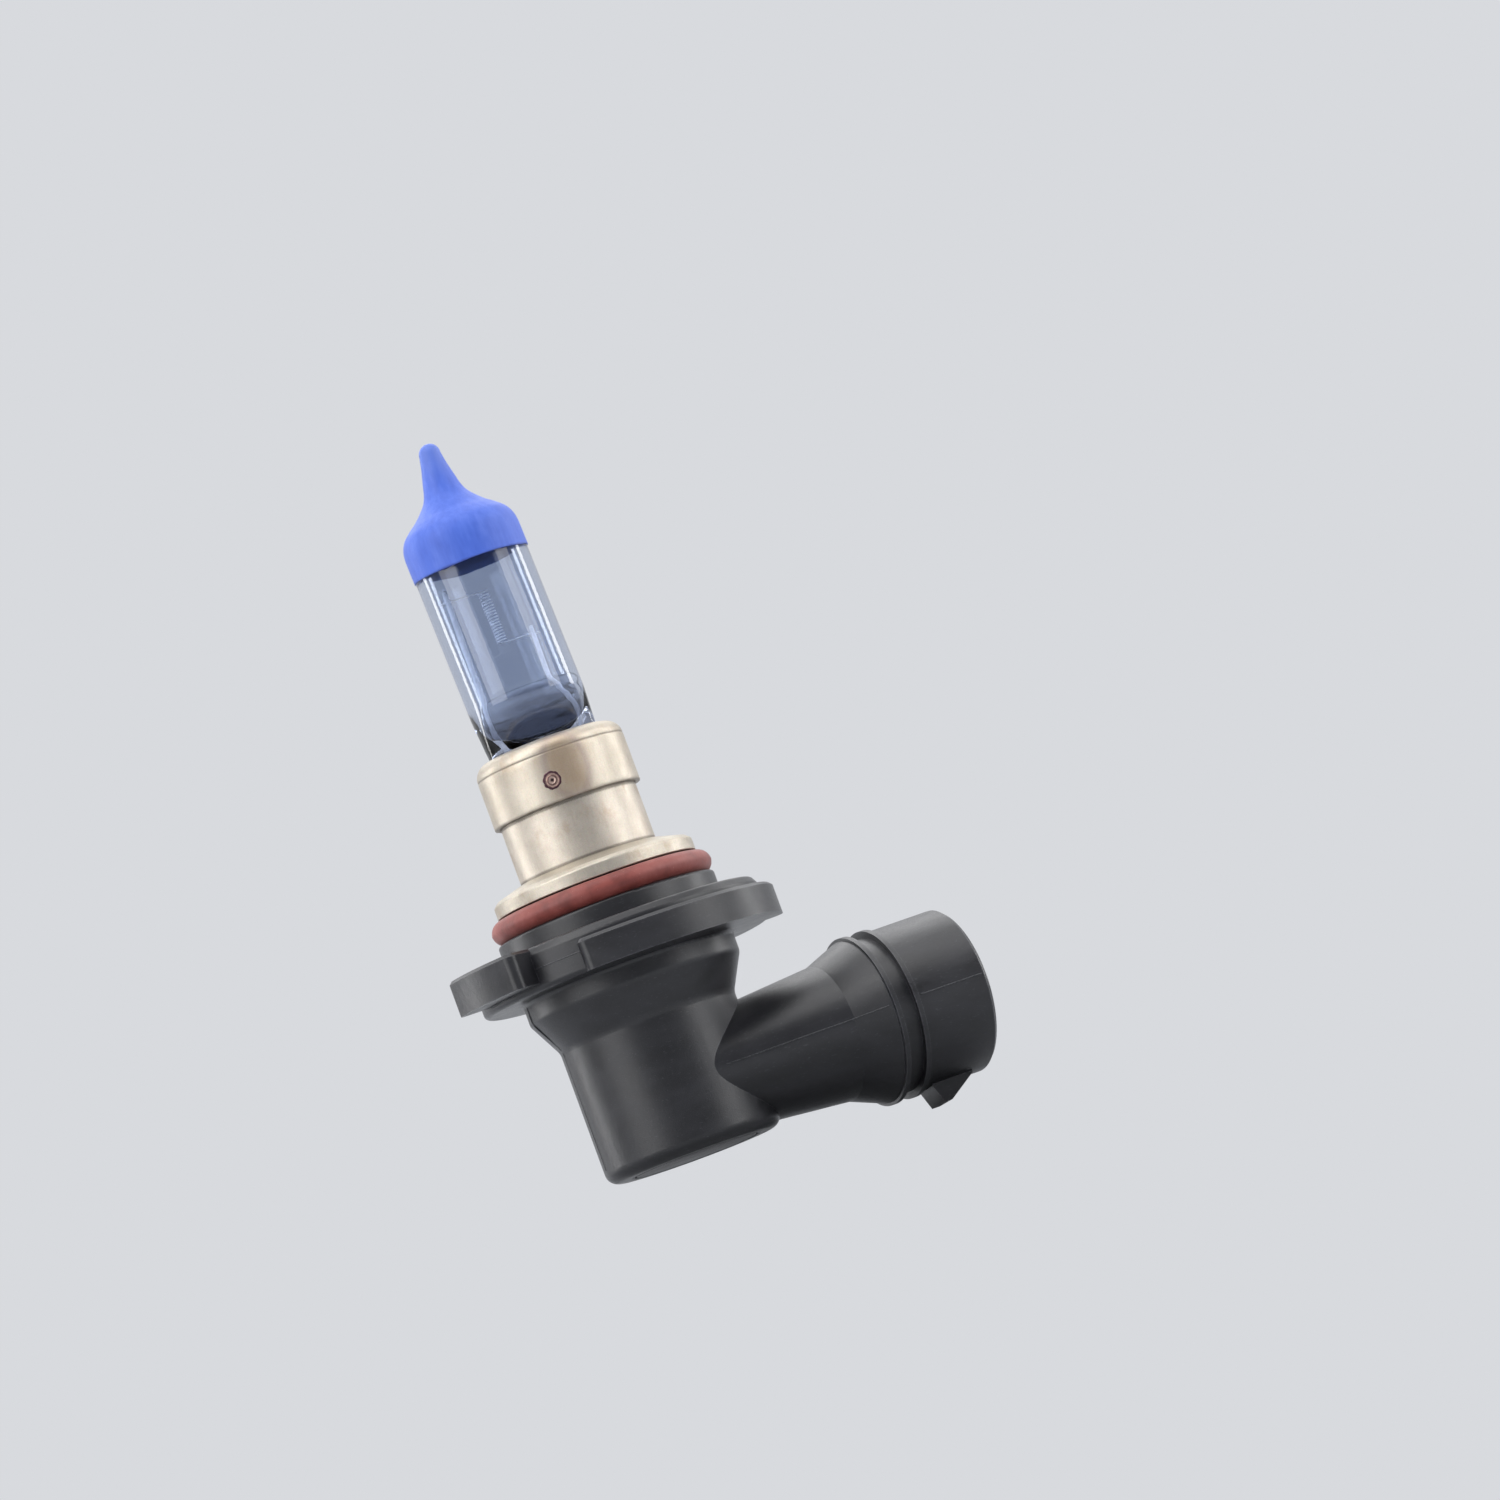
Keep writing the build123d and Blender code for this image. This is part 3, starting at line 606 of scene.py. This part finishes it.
def build_capsule():
    """Tube, dome, tip and flat seal as the outside, and the gas space as an inner shell."""
    columns = 144
    outside = []
    heights = [glass_lo.z + x for x in (0.0, 0.15, 0.6)]
    heights += [9.0 + 1.5 * i for i in range(5)] + [16.5 + 0.25 * i for i in range(29)]
    heights += [24.1 + 0.6 * i for i in range(26)]
    for z in heights:
        squeeze = 0.965 if z == glass_lo.z else 1.0
        outside += [drawn(Vector((p.x * squeeze, p.y * squeeze, p.z)))
                    for p in capsule_row(z, columns)]
    rows = len(heights)
    for r, z in dome_profile(0.0):
        outside += [drawn(Vector((r * cos(2 * pi * i / columns), r * sin(2 * pi * i / columns),
                                  z))) for i in range(columns)]
        rows += 1
    faces = grid_faces(rows, columns)
    faces.append(tuple(reversed(range(columns))))
    # the gas space: straight walls, a domed roof, and a floor pinched to a ridge from two sides
    bore = TUBE_R - WALL
    roof = curve_through([(bore, DOME_Z - 0.6), (0.97 * bore, DOME_Z + 0.35),
                          (0.85 * bore, DOME_Z + 1.2), (0.6 * bore, DOME_Z + 1.95),
                          (0.3 * bore, DOME_Z + 2.32), (0.0, DOME_Z + 2.4)], 5)
    inner = [(p.x, p.y) for p in reversed(roof)]
    inner += [(bore, DOME_Z - 0.6 - (DOME_Z - 0.6 - GAS_BEND) * i / 24) for i in range(1, 25)]
    inner += [(bore, GAS_BEND - (GAS_BEND - GAS_FLOOR) * i / 20) for i in range(1, 21)]
    inner += [(bore * x, GAS_FLOOR) for x in (0.85, 0.6, 0.3, 0.0)]

    def pinched(p, a):
        """Squeezes the lower end of the gas space flat, and lets its floor sag."""
        low = min(max((GAS_BEND - p.z) / (GAS_BEND - GAS_FLOOR), 0.0), 1.0)
        reach = sqrt(max(0.0, 1 - low ** 4))
        wide = 0.86 + 0.14 * sqrt(max(0.0, 1 - low ** 3))
        deep = 0.10 + 0.90 * (1 - low ** 1.35) * (0.55 + 0.45 * reach)
        deep += 0.012 * sin(low * 26) * 4 * low * (1 - low)
        ripple = 1 + 0.003 * lumpy((p.x, p.y, p.z * 0.15), 1.8, 8)
        edge = min(abs(cos(a)), 1.0) ** 3 * 0.9
        sag = 0.55 * low ** 2 * edge * min(sqrt(p.x ** 2 + p.y ** 2) / bore, 1.0)
        return leaning((p.x * wide * ripple, p.y * deep * ripple,
                        p.z + sag + 0.05 * low * lumpy(p, 1.6, 9)))

    cavity = turned(inner, columns, shift=pinched)
    points, faces = joined((outside, faces), cavity)
    piece = add_piece("quartz_capsule", points, faces, quartz, keep_normals=True)
    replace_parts(piece, "glass_envelope")


def build_coating():
    """A thin closed skin over dome and tip, with an uneven dipped edge."""
    columns = 144
    edge_z = coat_lo.z
    outer = [(TUBE_R + 0.085, edge_z), (TUBE_R + 0.11, edge_z + 0.06),
             (TUBE_R + PAINT, edge_z + 0.25), (TUBE_R + PAINT, edge_z + 0.9)]
    outer += dome_profile(PAINT, 8)
    inner = dome_profile(0.02, 8)[::-1] + [(TUBE_R + 0.02, edge_z + 0.9),
                                           (TUBE_R + 0.02, edge_z + 0.02)]

    def dipped(p, a):
        moved = drawn(p)
        low = max(0.0, 1 - (p.z - edge_z) / 1.5)
        moved.z += low * (0.10 + 0.09 * lumpy((p.x, p.y, 0), 3.0, 12)
                          + 0.03 * lumpy((p.x, p.y, 0), 0.7, 13))
        return moved

    points, faces = turned(outer + inner, columns, closed=True, shift=dipped)
    piece = add_piece("blue_tip_coating", points, faces, coating_blue)
    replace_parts(piece, "tip_coating")


build_capsule()
build_coating()


# ---- filament, posts and the small parts that join them ------------------------------------
def build_filament():
    """The coil as one wire: a leg to the long post, the close turns, a leg to the short post."""
    r, turns, pitch = COIL_R, COIL_TURNS, COIL_PITCH
    bottom = LIGHT_Z - turns * pitch / 2
    steps = 20
    helix = []
    for i in range(turns * steps + 1):
        a = pi / 2 + 2 * pi * i / steps
        wave = 1 + 0.02 * lumpy((i / 60.0, 0, 0), 1.0, 61)
        helix.append((r * wave * cos(a), r * wave * sin(a),
                      bottom + pitch * i / steps + 0.012 * lumpy((i / 25.0, 1, 0), 1.0, 62)))
    low = curve_through([(4.05, r - 0.02, bottom - 0.12), (3.3, r - 0.01, bottom - 0.10),
                         (2.4, r, bottom - 0.06), (1.3, r + 0.01, bottom - 0.06),
                         (0.6, r + 0.01, bottom - 0.04), (0.18, r, bottom - 0.01)], 5)
    top = helix[-1]
    high = curve_through([(-0.18, r, top[2] + 0.01), (-0.7, r + 0.01, top[2] + 0.05),
                          (-1.9, r, top[2] + 0.10), (-3.0, r - 0.01, top[2] + 0.09),
                          (-3.6, r - 0.02, top[2] + 0.07), (-4.35, r - 0.03, top[2] + 0.01)], 5)
    path = [leaning(p) for p in [*low, *helix[1:-1], *high]]
    points, faces = tube(path, COIL_WIRE, 8)
    piece = add_piece("coiled_filament", points, faces, tungsten)
    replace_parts(piece, "filament")


def build_post(name, node, route, nip):
    """A molybdenum post along a route of (x, z), nipped at a height where it holds the coil."""
    line = curve_through([leaning((x, POST_Y, z)) for x, z in route], 10)
    points, faces = tube(line, lambda share: POST_R * (1 + 0.03 * sin(share * 40))
                         * (0.82 if share > 0.985 else 1.0), 14)
    nip_z = leaning((0, 0, nip)).z
    for i, p in enumerate(points):
        near = max(0.0, 1 - abs(p.z - nip_z) / 0.45)
        if near > 0:
            p.y += (0.10 if p.y < POST_Y + LEAN_WAY.y * LEAN * (p.z - LEAN_Z) else -0.04) * near
    piece = add_piece(name, points, faces, moly)
    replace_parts(piece, node)


def build_crimp(name, start, end):
    """A short tube squeezed round the coil's leg where it crosses a post."""
    line = [leaning(Vector(start).lerp(Vector(end), i / 10)) for i in range(11)]
    points, faces = tube(line, lambda share: 0.185 + 0.02 * sin(share * pi * 3), 14)
    return add_piece(name, points, faces, moly)


build_filament()
build_post("long_post", "long_lead", [
    (-3.2, 12.9), (-3.2, 15.5), (-3.24, 17.8), (-3.62, 19.8),
    (-3.84, 21.4), (-3.80, 24.0), (-3.70, 28.0), (-3.56, 32.0),
    (-3.45, 35.6)], 34.6)
build_post("short_post", "short_lead", [
    (3.2, 12.9), (3.2, 15.5), (3.3, 17.6), (3.72, 19.6),
    (3.84, 20.9), (3.60, 22.3), (3.22, 23.7), (3.14, 25.2),
    (3.20, 27.4), (3.30, 29.9)], 29.1)
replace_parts(build_crimp("short_post_crimp", (2.75, 0.45, 29.22), (3.62, 0.45, 29.18)),
            "leg_sleeve")
build_crimp("long_post_crimp", (-3.75, 0.44, 34.58), (-3.12, 0.44, 34.60))


# ---- focusing collar and its weld spots ----------------------------------------------------
def build_collar():
    """The wide ring of sheet with a rolled-in top, dimpled where it is welded."""
    bottom, top, bend = collar_lo.z, collar_hi.z, 1.5
    centre = (COLLAR_R - bend, top - bend)
    outer = [(COLLAR_R - 0.10, bottom + 0.01), (COLLAR_R - 0.03, bottom + 0.03),
             (COLLAR_R, bottom + 0.10)]
    outer += [(COLLAR_R, bottom + 0.10 + (top - 1.68 - bottom - 0.10) * i / 12)
              for i in range(1, 13)]
    outer += [(COLLAR_R - 0.015, top - 1.61), (COLLAR_R - 0.055, top - 1.55),
              (COLLAR_R - 0.055, top - 1.49), (COLLAR_R - 0.02, top - 1.42)]
    outer += [(centre[0] + bend * cos(radians(a)), centre[1] + bend * sin(radians(a)))
              for a in range(8, 88, 8)]
    outer += [(centre[0] + 0.12, top - 0.005), (centre[0] + 0.02, top - 0.04),
              (centre[0] - 0.02, top - 0.12)]
    inner = [(centre[0], top - SHEET + 0.08), (centre[0] + 0.08, top - SHEET)]
    inner += [(centre[0] + (bend - SHEET) * cos(radians(a)),
               centre[1] + (bend - SHEET) * sin(radians(a))) for a in range(80, -1, -10)]
    inner += [(COLLAR_R - SHEET, bottom + 0.08), (COLLAR_R - SHEET + 0.08, bottom)]

    def stamped(p, a):
        dent = 0.0
        for angle in WELD_ANGLES:
            gap = ((a - radians(angle) + pi) % (2 * pi) - pi) * COLLAR_R
            near = (gap ** 2 + (p.z - WELD_Z) ** 2) / 1.3 ** 2
            if near < 4:
                dent += 0.035 * max(0.0, 1 - near / 4) ** 2
        scale = 1 + (0.022 * lumpy((cos(a) * 2, sin(a) * 2, p.z * 0.15), 1.0, 21)
                     - dent) / COLLAR_R
        burr = 0.0
        if p.z < bottom + 0.12:
            burr = 0.035 * lumpy((p.x, p.y, 0), 0.45, 22)
        lip = 0.03 * lumpy((cos(a) * 3, sin(a) * 3, 0), 1.0, 23) if p.z > top - 0.9 else 0.0
        return Vector((p.x * scale, p.y * scale, p.z + burr + lip))

    points, faces = turned(outer + inner, 240, closed=True, shift=stamped)
    piece = add_piece("focusing_collar_sheet", points, faces, collar_steel,
                      sharp=50)
    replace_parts(piece, "focusing_collar")


def build_weld(number, angle):
    """A spot on the collar: two raised rings round a pit, with a scalloped rim."""
    rings, spokes = 22, 64
    points = []
    for j in range(rings + 1):
        share = j / rings
        for i in range(spokes):
            a = 2 * pi * i / spokes
            scallop = 1 + 0.045 * sin(9 * a + number) * share + 0.05 * lumpy(
                (cos(a), sin(a), number), 0.5, 31) * share
            r = WELD_R * share * scallop
            x, y = r * cos(a), r * sin(a)
            rise = 0.030 * (cos(share * 2 * pi * 2.5) + 0.4) * (1 - share ** 6)
            rise -= 0.05 * max(0.0, 1 - share / 0.16)
            fall = 0.06 * share ** 8
            sag = COLLAR_R - sqrt(COLLAR_R ** 2 - x * x)
            points.append(Vector((x, y, rise - fall - sag
                                  + 0.008 * lumpy((x, y, number), 0.12, 32))))
    faces = grid_faces(rings + 1, spokes)
    base = len(points)
    skirt = [Vector((p.x * 1.01, p.y * 1.01, p.z - 0.2)) for p in points[-spokes:]]
    points += skirt
    for i in range(spokes):
        n = (i + 1) % spokes
        faces.append((base - spokes + i, base - spokes + n, base + n, base + i))
    faces.append(tuple(reversed(range(base, base + spokes))))
    a = radians(angle)
    out = Vector((cos(a), sin(a), 0))
    across = Vector((-sin(a), cos(a), 0))
    up = Vector((0, 0, 1))
    place = Matrix.Translation((out * (COLLAR_R + 0.005) + up * WELD_Z) * MM) @ Matrix(
        (across, up, out)).transposed().to_4x4()
    return add_piece(f"weld_spot_{number}", points, faces, weld_metal, place=place)


build_collar()
for number, angle in enumerate(WELD_ANGLES, 1):
    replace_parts(build_weld(number, angle), "collar_welds")


# ---- neck sleeve ---------------------------------------------------------------------------
def build_sleeve():
    """The neck tube, with its foot turned out under the cap ring."""
    r, bottom, top = SLEEVE_R, sleeve_lo.z, sleeve_hi.z
    foot = sleeve_hi.x
    outer = [(foot - 0.05, bottom), (foot, bottom + 0.06), (foot, bottom + 0.34),
             (foot - 0.06, bottom + 0.4), (r + 0.18, bottom + 0.42), (r + 0.05, bottom + 0.5),
             (r, bottom + 0.7)]
    outer += [(r, bottom + 0.7 + (top - bottom - 0.8) * i / 24) for i in range(1, 25)]
    outer += [(r - 0.08, top)]
    inner = [(r - SHEET + 0.08, top), (r - SHEET, top - 0.1), (r - SHEET, bottom)]

    def drawn_sheet(p, a):
        scale = 1 + 0.018 * lumpy((cos(a) * 2, sin(a) * 2, p.z * 0.2), 1.0, 41) / r
        return Vector((p.x * scale, p.y * scale, p.z))

    points, faces = turned(outer + inner, 180, closed=True, shift=drawn_sheet)
    piece = add_piece("neck_sleeve_sheet", points, faces, sleeve_steel, sharp=50)
    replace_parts(piece, "base_sleeve")


build_sleeve()


# ---- O-ring --------------------------------------------------------------------------------
def build_seal():
    """The O-ring, with a fine flash line round its outside."""
    centre_r = (seal_hi.x - seal_hi.z / 2 + seal_lo.z / 2)
    r = (seal_hi.z - seal_lo.z) / 2
    centre_z = (seal_hi.z + seal_lo.z) / 2
    profile = []
    for i in range(40):
        a = 2 * pi * i / 40
        flash = 0.035 if i == 0 else (0.012 if i in (1, 39) else 0.0)
        profile.append((centre_r + (r - 0.03 + flash) * cos(a), centre_z + (r - 0.01) * sin(a)))

    def moulded(p, a):
        scale = 1 + 0.012 * lumpy((cos(a) * 2, sin(a) * 2, 0), 0.9, 51) / centre_r
        return Vector((p.x * scale, p.y * scale,
                       p.z + 0.012 * lumpy((cos(a) * 3, sin(a) * 3, 1), 0.8, 52)))

    points, faces = turned(profile, 200, closed=True, shift=moulded)
    piece = add_piece("o_ring_moulded", points, faces, red_rubber)
    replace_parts(piece, "o_ring")


build_seal()


# ---- moulding marks on the plastic base ----------------------------------------------------
PLUG_Z = -16.4
BEAD = 0.07                         # radius of a flash line
ARM_OUTLINE = [(0.0, 8.2), (16.5, 9.9), (20.0, 11.6), (30.0, 11.6)]


def add_marks(name, *parts):
    """Moulding marks in the base's plastic, as one piece."""
    points, faces = joined(*parts)
    return add_piece(name, points, faces, black_plastic)


def arm_side(x):
    """Half width of the arm or shroud at a distance along the plug."""
    for (x0, w0), (x1, w1) in zip(ARM_OUTLINE, ARM_OUTLINE[1:]):
        if x <= x1:
            return w0 + (w1 - w0) * (x - x0) / (x1 - x0)
    return w1


def wavering(points, seed):
    """The points with a slight wander in height."""
    return [Vector(p) + Vector((0, 0, 0.02 * lumpy(p, 2.0, seed))) for p in points]


def build_moulding_marks():
    """Flash lines where the mould parts, ejector rings on the flange and a gate stub."""
    rim = turned([(DISC_R + out, DISC_MID + rise) for out, rise in (
        (-0.12, -0.10), (0.035, -0.05), (0.05, 0.0), (0.035, 0.05), (-0.12, 0.10))], 240,
                 closed=True,
                 shift=lambda p, a: p + Vector((0, 0, 0.02 * lumpy(p, 2.5, 71))))
    add_marks("flange_flash_line", rim)
    runs = []
    for side in (-1, 1):
        for x0, x1 in ((3.6, 19.7), (22.95, 29.3)):
            steps = int((x1 - x0) / 0.4)
            line = [(x0 + (x1 - x0) * i / steps,
                     side * (arm_side(x0 + (x1 - x0) * i / steps) - 0.02), PLUG_Z)
                    for i in range(steps + 1)]
            runs.append(tube(wavering(line, 72), BEAD, 8))
    add_marks("plug_flash_lines", *runs)
    barrel = [(10.6, -4.5), (10.6, -6.2), (9.9, -7.6), (8.95, -9.3), (8.8, -10.2),
              (8.8, -16.0), (8.8, -21.6)]
    line = [(-(p.x - 0.02), 0.0, p.y) for p in curve_through(barrel, 8)]
    add_marks("barrel_flash_line", tube(wavering(line, 73), BEAD, 8))
    rings = []
    for angle in (25.0, 48.0, 120.0, 160.0):
        a = radians(angle)
        centre = Vector((EJECTOR_AT * cos(a), EJECTOR_AT * sin(a), 0.0))
        points, faces = turned([(1.05, -0.05), (1.04, 0.035), (0.96, 0.05), (0.88, 0.035),
                                (0.87, -0.05)], 40, closed=True)
        rings.append(([p + centre for p in points], faces))
    add_marks("ejector_rings", *rings)
    stub = turned([(0.0, 0.3), (1.0, 0.3), (0.98, 0.02), (0.9, -0.05), (0.62, -0.10), (0.5, -0.22),
                   (0.3, -0.30), (0.0, -0.33)], 32,
                  shift=lambda p, a: p + Vector((0.4, -1.1, cap_lo.z + 0.35
                                                 + 0.03 * lumpy(p, 0.3, 74))))
    seam = turned([(6.62, cap_lo.z + 0.02), (6.55, cap_lo.z - 0.02), (6.40, cap_lo.z - 0.025),
                   (6.28, cap_lo.z + 0.0), (6.25, cap_lo.z + 0.12)], 160, closed=True,
                  shift=lambda p, a: p + Vector((0, 0, 0.015 * lumpy(p, 0.7, 75))))
    points, faces = joined(stub, seam)
    add_piece("cap_weld_seam_and_gate", points, faces, cap_plastic)


build_moulding_marks()


# ---- stage, light and camera ---------------------------------------------------------------
def build_stage():
    """A wide pale floor that only shows from above, because the camera stands under it."""
    k = Look("pale_floor")
    soft = k.noise(0.02, 4.0)
    top = k.node("ShaderNodeBsdfDiffuse", {
        "Color": k.mix(soft, srgb(190, 192, 195), srgb(184, 186, 190)), "Roughness": 0.8})
    under = k.node("ShaderNodeBsdfTransparent")
    facing = k.node("ShaderNodeNewGeometry").outputs["Backfacing"]
    both = k.node("ShaderNodeMixShader", {0: facing, 1: top.outputs[0], 2: under.outputs[0]})
    k.tree.links.new(both.outputs[0], k.out.inputs["Surface"])
    mesh = bpy.data.meshes.new("floor")
    half, z = 6.0, cad_lo.z - 0.0002
    mesh.from_pydata([(-half, -half, z), (half, -half, z), (half, half, z), (-half, half, z)],
                     [], [(0, 1, 2, 3)])
    mesh.materials.append(k.mat)
    floor = bpy.data.objects.new("floor", mesh)
    scene.collection.objects.link(floor)


def build_world():
    """A pale sky that darkens towards the camera's side, for dark reflections in the metal."""
    world = bpy.data.worlds.new("studio")
    scene.world = world
    world.use_nodes = True
    tree = world.node_tree
    tree.nodes.clear()
    out = tree.nodes.new("ShaderNodeOutputWorld")
    sky = tree.nodes.new("ShaderNodeBackground")
    sky.inputs["Strength"].default_value = 1.0
    where = tree.nodes.new("ShaderNodeTexCoord")
    facing = tree.nodes.new("ShaderNodeVectorMath")
    facing.operation = "DOT_PRODUCT"
    facing.inputs[1].default_value = (-0.27, -0.93, 0.25)
    fade = tree.nodes.new("ShaderNodeMapRange")
    fade.interpolation_type = "SMOOTHSTEP"
    fade.inputs["From Min"].default_value = -0.35
    fade.inputs["From Max"].default_value = 0.75
    colour = tree.nodes.new("ShaderNodeMix")
    colour.data_type = "RGBA"
    colour.inputs[6].default_value = srgb(216, 218, 222)
    colour.inputs[7].default_value = srgb(112, 115, 123)
    tree.links.new(where.outputs["Generated"], facing.inputs[0])
    tree.links.new(facing.outputs["Value"], fade.inputs["Value"])
    tree.links.new(fade.outputs[0], colour.inputs[0])
    tree.links.new(colour.outputs[2], sky.inputs["Color"])
    tree.links.new(sky.outputs[0], out.inputs["Surface"])


def add_light(name, place, aim, size, power):
    """A rectangular softbox at place, turned towards aim. Sizes in metres, power in watts."""
    data = bpy.data.lights.new(name, "AREA")
    data.shape = "RECTANGLE"
    data.size, data.size_y = size
    data.energy = power
    lamp = bpy.data.objects.new(name, data)
    lamp.location = place
    lamp.rotation_euler = (Vector(aim) - Vector(place)).to_track_quat("-Z", "Y").to_euler()
    scene.collection.objects.link(lamp)


AIM = Vector((0.0171, -0.0061, 0.0113))
AZIMUTH, ELEVATION, ROLL = radians(-16.0), radians(-5.34), radians(20.28)
DISTANCE, FRAME_WIDTH, SENSOR = 0.9, 0.1427, 36.0

back = Vector((sin(AZIMUTH) * cos(ELEVATION), -cos(AZIMUTH) * cos(ELEVATION), sin(ELEVATION)))
right = Vector((cos(AZIMUTH), sin(AZIMUTH), 0.0))
up = back.cross(right)
cam_right = cos(ROLL) * right - sin(ROLL) * up
cam_up = sin(ROLL) * right + cos(ROLL) * up

camera_data = bpy.data.cameras.new("camera")
camera_data.sensor_width = SENSOR
camera_data.lens = SENSOR * DISTANCE / FRAME_WIDTH
camera_data.dof.use_dof = False
camera_data.clip_start, camera_data.clip_end = 0.01, 50.0
camera = bpy.data.objects.new("camera", camera_data)
turn = Matrix((cam_right, cam_up, back)).transposed().to_4x4()
camera.matrix_world = Matrix.Translation(AIM + back * DISTANCE) @ turn
scene.collection.objects.link(camera)
scene.camera = camera

build_stage()
build_world()
add_light("key_left", AIM + back * 0.35 - right * 0.45 + up * 0.35, AIM, (0.45, 0.7), 3.4)
add_light("key_right", AIM + back * 0.20 + right * 0.55 + up * 0.20, AIM, (0.3, 0.7), 2.3)
add_light("top", AIM + back * 0.1 + up * 0.7, AIM, (0.8, 0.6), 3.0)
add_light("rear", AIM - back * 0.5 + up * 0.45, AIM, (0.9, 0.5), 2.0)
add_light("rim_right", AIM - back * 0.22 + right * 0.5, AIM, (0.10, 0.8), 1.7)
add_light("rim_left", AIM - back * 0.18 - right * 0.5, AIM, (0.08, 0.8), 1.4)

scene.view_settings.view_transform = "Standard"
